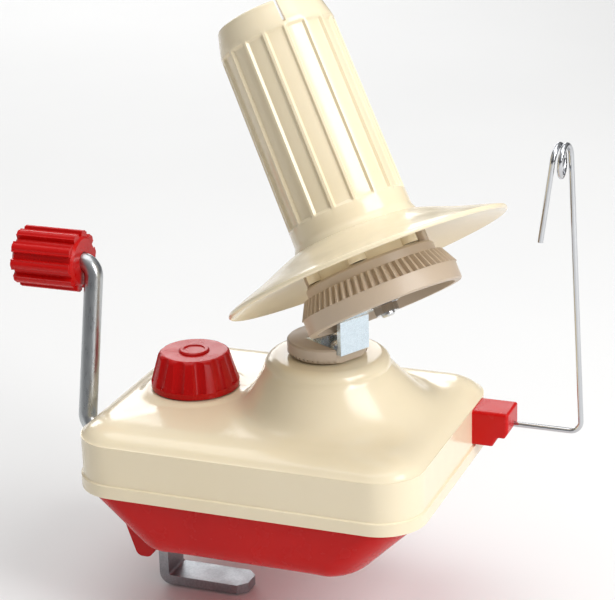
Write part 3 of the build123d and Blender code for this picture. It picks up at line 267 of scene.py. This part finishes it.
def drill(place, axis, radius, length):
    """A round cutter in millimetres, centred at place along axis."""
    mesh = bpy.data.meshes.new("drill")
    body = bmesh.new()
    bmesh.ops.create_cone(body, cap_ends=True, segments=64, radius1=radius * MM, radius2=radius * MM,
                          depth=length * MM)
    body.to_mesh(mesh)
    body.free()
    tool = bpy.data.objects.new("drill", mesh)
    tool.matrix_world = (Matrix.Translation(Vector(place) * MM)
                         @ Vector(axis).to_track_quat("Z", "Y").to_matrix().to_4x4())
    bpy.context.scene.collection.objects.link(tool)
    return tool


def block(centre, axes, size):
    """A box cutter in millimetres with its own axes."""
    mesh = bpy.data.meshes.new("block")
    body = bmesh.new()
    bmesh.ops.create_cube(body, size=1.0)
    body.to_mesh(mesh)
    body.free()
    tool = bpy.data.objects.new("block", mesh)
    turn_to = Matrix(axes).transposed().to_4x4()
    tool.matrix_world = (Matrix.Translation(Vector(centre) * MM) @ turn_to
                         @ Matrix.Diagonal((*(Vector(size) * MM), 1)))
    bpy.context.scene.collection.objects.link(tool)
    return tool


def stand_for(piece, node, body, slot_name):
    """The piece takes the place of a CAD node, rides its body and wears its finish."""
    piece.data.materials.clear()
    piece.data.materials.append(FINISH[slot_name])
    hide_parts(node)
    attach(piece, body)


# top cover: walls, softly domed roof, knob boss and conical turret in one skin
HOUSE_HALF_X, HOUSE_HALF_Y, HOUSE_R = 64.5, 50.0, 16.0
TURRET_X, TURRET_TOP, TURRET_BORE_R, TURRET_FLAT_R, SHOULDER = 17.0, 66.5, 7.0, 18.6, 4.2
NECK_R = TURRET_FLAT_R + SHOULDER
TURRET_FOOT_R, TURRET_LAY, FLANK_CURVE, FLANK_BLEND = 37.0, 14.0, 1.5, 5.0
FLANK_LOW, FADE_OUTSIDE, FADE_INSIDE = 42.0, -2.0, 14.0
KNOB_X, BOSS_R, BOSS_TOP, BOSS_DROP, BOSS_BLEND = -35.6, 18.8, 47.4, 6.0, 1.2
BOSS_FLAT_IN, BOSS_SLOPE_OUT = 0.4, 4.5
ROOF_TOP, ROOF_EDGE, ROOF_ROLL, ROLL_RISE, ROLL_FULLNESS = 46.3, 39.6, 15.0, 2.6, 1.7
CROWN, CROWN_FROM, CROWN_FULL = 0.7, 9.0, 42.0
WALL, LIP_OUT, LIP_TOP, LIP_BEVEL, LIP_MIDDLE, TRAY_TOP = 2.5, 0.7, 26.9, 0.35, 24.4, 22.0
WALL_ROWS = (36.0, 31.0)
CEILING_EDGE, CEILING_IN, CEILING = 37.0, 0.86, 43.0
CAVITY = ((29.6, 45.0), (24.6, 55.0), (20.0, 62.0), (10.2, 62.0))
CAVITY_MOUTH_R = 30.5
FLANK_ROWS, EDGE_CROWDING, FARTHEST, HALVINGS = 46, 1.7, 150.0, 40


def inset_from_wall(x, y):
    """Distance in from the house's rounded rectangular outline."""
    dx = abs(x) - (HOUSE_HALF_X - HOUSE_R)
    dy = abs(y) - (HOUSE_HALF_Y - HOUSE_R)
    outside = math.hypot(max(dx, 0.0), max(dy, 0.0))
    return HOUSE_R - outside - min(max(dx, dy), 0.0)


def reach_of_wall(angle, inset):
    """How far along a ray from the turret's axis the outline lies, drawn in by inset."""
    near, far = 0.0, FARTHEST
    for _ in range(HALVINGS):
        half = (near + far) / 2
        x = TURRET_X + half * math.cos(angle)
        if inset_from_wall(x, half * math.sin(angle)) > inset:
            near = half
        else:
            far = half
    return near


def turret_height(r, angle):
    """Flank of the turret: a steep cone on the knob's side that lies back towards the right end."""
    foot_r = TURRET_FOOT_R + TURRET_LAY * (0.5 + 0.5 * math.cos(angle)) ** 2
    t = min(1.0, max(0.0, (r - NECK_R) / (foot_r - NECK_R)))
    return FLANK_LOW + (TURRET_TOP - SHOULDER - FLANK_LOW) * (1 - t) ** FLANK_CURVE


def roof_height(x, y):
    """Height of the cover's outside away from the turret."""
    inset = inset_from_wall(x, y)
    t = min(1.0, max(0.0, inset / ROOF_ROLL))
    roll = ROOF_EDGE + (ROOF_TOP - ROOF_EDGE) * (1 - (1 - t) ** ROLL_RISE) ** (1 / ROLL_FULLNESS)
    roll += CROWN * smoothstep(CROWN_FROM, CROWN_FULL, inset)
    off_knob = math.hypot(x - KNOB_X, y)
    boss = BOSS_TOP - BOSS_DROP * smoothstep(BOSS_R - BOSS_FLAT_IN, BOSS_R + BOSS_SLOPE_OUT, off_knob)
    return soft_max(roll, boss, BOSS_BLEND)


def cover_height(x, y, r, angle):
    """Height of the cover's outside beyond the turret's shoulder, where the flank runs into the roof."""
    roof = roof_height(x, y)
    fade = smoothstep(FADE_OUTSIDE, FADE_INSIDE, inset_from_wall(x, y))
    return roof + fade * (soft_max(turret_height(r, angle), roof, FLANK_BLEND) - roof)


def cover_column(angle):
    """One closed profile of the cover, in the upright half plane through the turret's axis."""
    spoke = Vector((math.cos(angle), math.sin(angle), 0))
    centre = Vector((TURRET_X, 0, 0))

    def at(r, z):
        return (centre + spoke * r + Vector((0, 0, z))) * MM

    column = [at(r, TURRET_TOP) for r in (TURRET_BORE_R, 10.0, 14.0, TURRET_FLAT_R)]
    for step in range(1, 11):
        swing = math.radians(9 * step)
        r = TURRET_FLAT_R + SHOULDER * math.sin(swing)
        column.append(at(r, TURRET_TOP - SHOULDER * (1 - math.cos(swing))))
    edge_r = reach_of_wall(angle, 0.0)
    for step in range(1, FLANK_ROWS + 1):
        t = step / FLANK_ROWS
        spread = 1 - (1 - t) ** EDGE_CROWDING if t > 0.5 else t * (1 - 0.5 ** EDGE_CROWDING) / 0.5
        r = NECK_R + (edge_r - NECK_R) * spread
        place = centre + spoke * r
        column.append(at(r, cover_height(place.x, place.y, r, angle)))
    lip_r = reach_of_wall(angle, -LIP_OUT)
    column += [at(edge_r, z) for z in (*WALL_ROWS, LIP_TOP)]
    column += [at(lip_r, z) for z in (LIP_TOP - LIP_BEVEL, LIP_MIDDLE, TRAY_TOP)]
    inner_r = reach_of_wall(angle, WALL)
    deep_r = min(inner_r - 0.2, max(inner_r * CEILING_IN, CAVITY_MOUTH_R))
    column += [at(inner_r, TRAY_TOP), at(inner_r, CEILING_EDGE), at(deep_r, CEILING)]
    column += [at(r, z) for r, z in CAVITY]
    column.append(at(TURRET_BORE_R, CAVITY[-1][1]))
    return column


COVER_RAYS = 300
cover = ring_mesh("cover_skin", [cover_column(2 * math.pi * i / COVER_RAYS) for i in range(COVER_RAYS)])
CRANK_Y, CRANK_Z = -14.0, 31.5
CRANK_HOLE_R, SCREW_HOLE_R, HOLE_DEEP = 5.6, 4.5, 16
cut(cover, [drill((-HOUSE_HALF_X, CRANK_Y, CRANK_Z), (1, 0, 0), CRANK_HOLE_R, HOLE_DEEP),
            drill((KNOB_X, 0, 45), (0, 0, 1), SCREW_HOLE_R, HOLE_DEEP)])
stand_for(cover, "top_cover", "housing", "cream_plastic")

# winding core: tapered tube with raised ribs between long shallow panels
TILT, HEAD_AZIMUTH, APEX = math.radians(31.8), math.radians(-28.0), Vector((TURRET_X, 0, 142.0))
out_dir = Vector((math.cos(HEAD_AZIMUTH), math.sin(HEAD_AZIMUTH), 0))
head_axis = Vector((0, 0, 1)) * math.cos(TILT) - out_dir * math.sin(TILT)
head_side = out_dir * math.cos(TILT) + Vector((0, 0, 1)) * math.sin(TILT)
head_cross = head_axis.cross(head_side)
CORE_LOW, CORE_TOP, CORE_R, CORE_BASE_R, CORE_WALL, RIM_R = -31.6, 51.0, 21.1, 21.6, 2.6, 19.0
RIBS, RIB_HALF_DEG, RIB_FLANK_DEG, FIRST_PANEL = 17, 1.4, 1.2, 2.8
PANEL_LOW, PANEL_HIGH, PANEL_DEEP, PANEL_FADE = -23.5, 41.5, 1.0, 1.4
FOOT_SWELL, FOOT_SWELL_HIGH = 1.0, 3.0
FOOT_ROWS = (0.0, 0.8, 1.6, 2.4, 3.2, 5.5)
CAP_CURVE, RIM_ROUND, CAP_ROWS = 1.15, 1.2, (2.2, 4.4, 6.6)
MOUTH_OUT, MOUTH_BEVEL_OUT, MOUTH_BEVEL_DEEP = 0.4, 0.3, 0.4
BORE_R, BORE_FLOOR_R, NOTCH_DEG, NOTCH_W, NOTCH_H = 4.2, 12.0, -27.5, 1.2, 8.7
NOTCH_REACH, NOTCH_OVER = 12, 10


def head_point(r, degrees, s):
    """A point of the winding head from its radius, its angle and its place along the tilted axis."""
    swing = math.radians(degrees)
    off_axis = head_side * (r * math.cos(swing)) + head_cross * (r * math.sin(swing))
    return (APEX + head_axis * s + off_axis) * MM


def core_outside(degrees, s):
    """Radius of the core's outside."""
    rim_low = CORE_TOP - RIM_ROUND
    base = CORE_BASE_R + (CORE_R - CORE_BASE_R) * min(1.0, (s - CORE_LOW) / (PANEL_HIGH - CORE_LOW))
    base -= (CORE_R - RIM_R) * max(0.0, (s - PANEL_HIGH) / (rim_low - PANEL_HIGH)) ** CAP_CURVE
    base += FOOT_SWELL * (1 - smoothstep(CORE_LOW, CORE_LOW + FOOT_SWELL_HIGH, s))
    pitch = 360 / RIBS
    off_middle = abs((degrees - FIRST_PANEL + pitch / 2) % pitch - pitch / 2)
    rib_edge = pitch / 2 - RIB_HALF_DEG
    across = 1 - smoothstep(rib_edge - RIB_FLANK_DEG, rib_edge, off_middle)
    rise = smoothstep(PANEL_LOW, PANEL_LOW + PANEL_FADE, s)
    along = rise * (1 - smoothstep(PANEL_HIGH - PANEL_FADE, PANEL_HIGH, s))
    return base - PANEL_DEEP * across * along


def core_heights():
    """Places along the axis of the outside's rows, closer together where the panels begin and end."""
    fade_low, fade_high = PANEL_LOW + PANEL_FADE, PANEL_HIGH - PANEL_FADE
    heights = [CORE_LOW + rise for rise in FOOT_ROWS]
    heights += [PANEL_LOW + PANEL_FADE * k / 5 for k in range(6)]
    heights += [fade_low + (fade_high - fade_low) * k / 12 for k in range(1, 12)]
    heights += [fade_high + PANEL_FADE * k / 5 for k in range(6)]
    heights += [PANEL_HIGH + rise for rise in CAP_ROWS]
    return heights + [CORE_TOP - RIM_ROUND]


def core_column(degrees):
    """One closed profile of the core at an angle round its axis."""
    column = [head_point(core_outside(degrees, s), degrees, s) for s in core_heights()]
    for step in range(1, 7):
        swing = math.radians(15 * step)
        r = RIM_R - RIM_ROUND * (1 - math.cos(swing))
        column.append(head_point(r, degrees, CORE_TOP - RIM_ROUND * (1 - math.sin(swing))))
    mouth_r, waist_r = RIM_R - CORE_WALL + MOUTH_OUT, CORE_R - CORE_WALL
    column.append(head_point(mouth_r + MOUTH_BEVEL_OUT, degrees, CORE_TOP))
    column.append(head_point(mouth_r, degrees, CORE_TOP - MOUTH_BEVEL_DEEP))
    column += [head_point(waist_r, degrees, s) for s in (PANEL_HIGH, 20.0, 0.8)]
    column += [head_point(r, degrees, 0.0) for r in (waist_r - 0.8, BORE_FLOOR_R, BORE_R)]
    column.append(head_point(BORE_R, degrees, CORE_LOW))
    return column


CORE_COLUMNS = RIBS * 26
core = ring_mesh("core_skin", [core_column(360 * i / CORE_COLUMNS) for i in range(CORE_COLUMNS)])
notch_turn = math.radians(NOTCH_DEG)
notch_out = head_side * math.cos(notch_turn) + head_cross * math.sin(notch_turn)
notch_place = APEX + head_axis * (CORE_TOP + (NOTCH_OVER - NOTCH_H) / 2) + notch_out * RIM_R
notch_axes = (notch_out, head_axis.cross(notch_out), head_axis)
cut(core, [block(notch_place, notch_axes, (NOTCH_REACH, NOTCH_W, NOTCH_H + NOTCH_OVER))])
stand_for(core, "winding_core", "winding_head", "cream_plastic")


# ------------------------------------------------------------------ studio
LIGHT_AIM = Vector((0.01, 0.0, 0.09))


def soft_light(name, place, width, height, watts):
    """A rectangular softbox at place, facing the middle of the object."""
    data = bpy.data.lights.new(name, "AREA")
    data.shape = "RECTANGLE"
    data.size, data.size_y = width, height
    data.energy = watts
    light = bpy.data.objects.new(name, data)
    light.location = place
    light.rotation_euler = (LIGHT_AIM - Vector(place)).to_track_quat("-Z", "Y").to_euler()
    bpy.context.scene.collection.objects.link(light)


soft_light("key_box", (1.0, -0.25, 0.95), 0.8, 0.8, 12.0)
soft_light("right_box", (0.92, -0.50, 0.50), 0.22, 0.75, 2.4)
soft_light("top_box", (-0.1, 0.15, 1.3), 1.2, 1.2, 8.0)
soft_light("back_box", (-0.75, 1.25, 0.50), 1.1, 0.4, 5.0)

world = bpy.data.worlds.new("studio_air")
bpy.context.scene.world = world
world.use_nodes = True
air = world.node_tree
sky_coords = air.nodes.new("ShaderNodeTexCoord")
sky_split = air.nodes.new("ShaderNodeSeparateXYZ")
sky_ramp = air.nodes.new("ShaderNodeValToRGB")
sky_ramp.color_ramp.elements[0].position = 0.02
sky_ramp.color_ramp.elements[1].position = 0.75
sky_ramp.color_ramp.elements[0].color = (0.10, 0.10, 0.11, 1)
sky_ramp.color_ramp.elements[1].color = (0.44, 0.44, 0.44, 1)
air.links.new(sky_coords.outputs["Generated"], sky_split.inputs["Vector"])
air.links.new(sky_split.outputs["Z"], sky_ramp.inputs["Fac"])
air.links.new(sky_ramp.outputs["Color"], air.nodes["Background"].inputs["Color"])
air.nodes["Background"].inputs["Strength"].default_value = 1.0

FLOOR_GAP = 0.0006
FLOOR_Z = cad_low.z - FLOOR_GAP
FLOOR_HALF = 6.0
floor_mesh = bpy.data.meshes.new("studio_floor")
floor_signs = ((-1, -1), (1, -1), (1, 1), (-1, 1))
corners = [(x * FLOOR_HALF, y * FLOOR_HALF, FLOOR_Z) for x, y in floor_signs]
floor_mesh.from_pydata(corners, [], [(0, 1, 2, 3)])
floor = bpy.data.objects.new("studio_floor", floor_mesh)
bpy.context.scene.collection.objects.link(floor)
floor_paint, floor_tree, floor_shader = new_material("pale_floor")
floor_grain = object_noise(floor_tree, 3, 3)
tint_between(floor_tree, floor_shader, floor_grain.outputs["Fac"], (0.80, 0.80, 0.795), (0.83, 0.83, 0.825))
floor_shader.inputs["Roughness"].default_value = 0.75
floor_mesh.materials.append(floor_paint)

# ------------------------------------------------------------------ camera
AZIMUTH, PITCH, ROLL = math.radians(21.62), math.radians(19.95), math.radians(1.72)
DISTANCE, SHIFT_RIGHT, SHIFT_UP = 0.7663, -0.0092, -0.0586
EYE_BASE = Vector((0, 0, 0.022))
right = Vector((math.cos(AZIMUTH), math.sin(AZIMUTH), 0))
ahead = Vector((-math.sin(AZIMUTH) * math.cos(PITCH), math.cos(AZIMUTH) * math.cos(PITCH), -math.sin(PITCH)))
above = right.cross(ahead)
camera_data = bpy.data.cameras.new("camera")
camera_data.sensor_width = 36.0
camera_data.lens = 121.7
camera_data.clip_start, camera_data.clip_end = 0.05, 30
camera = bpy.data.objects.new("camera", camera_data)
bpy.context.scene.collection.objects.link(camera)
camera_right = right * math.cos(ROLL) - above * math.sin(ROLL)
camera_up = right * math.sin(ROLL) + above * math.cos(ROLL)
turn = Matrix((camera_right, camera_up, -ahead)).transposed().to_4x4()
eye = EYE_BASE - right * SHIFT_RIGHT - above * SHIFT_UP - ahead * DISTANCE
camera.matrix_world = Matrix.Translation(eye) @ turn
bpy.context.scene.camera = camera
bpy.context.scene.view_settings.view_transform = "Standard"

bpy.context.view_layer.update()
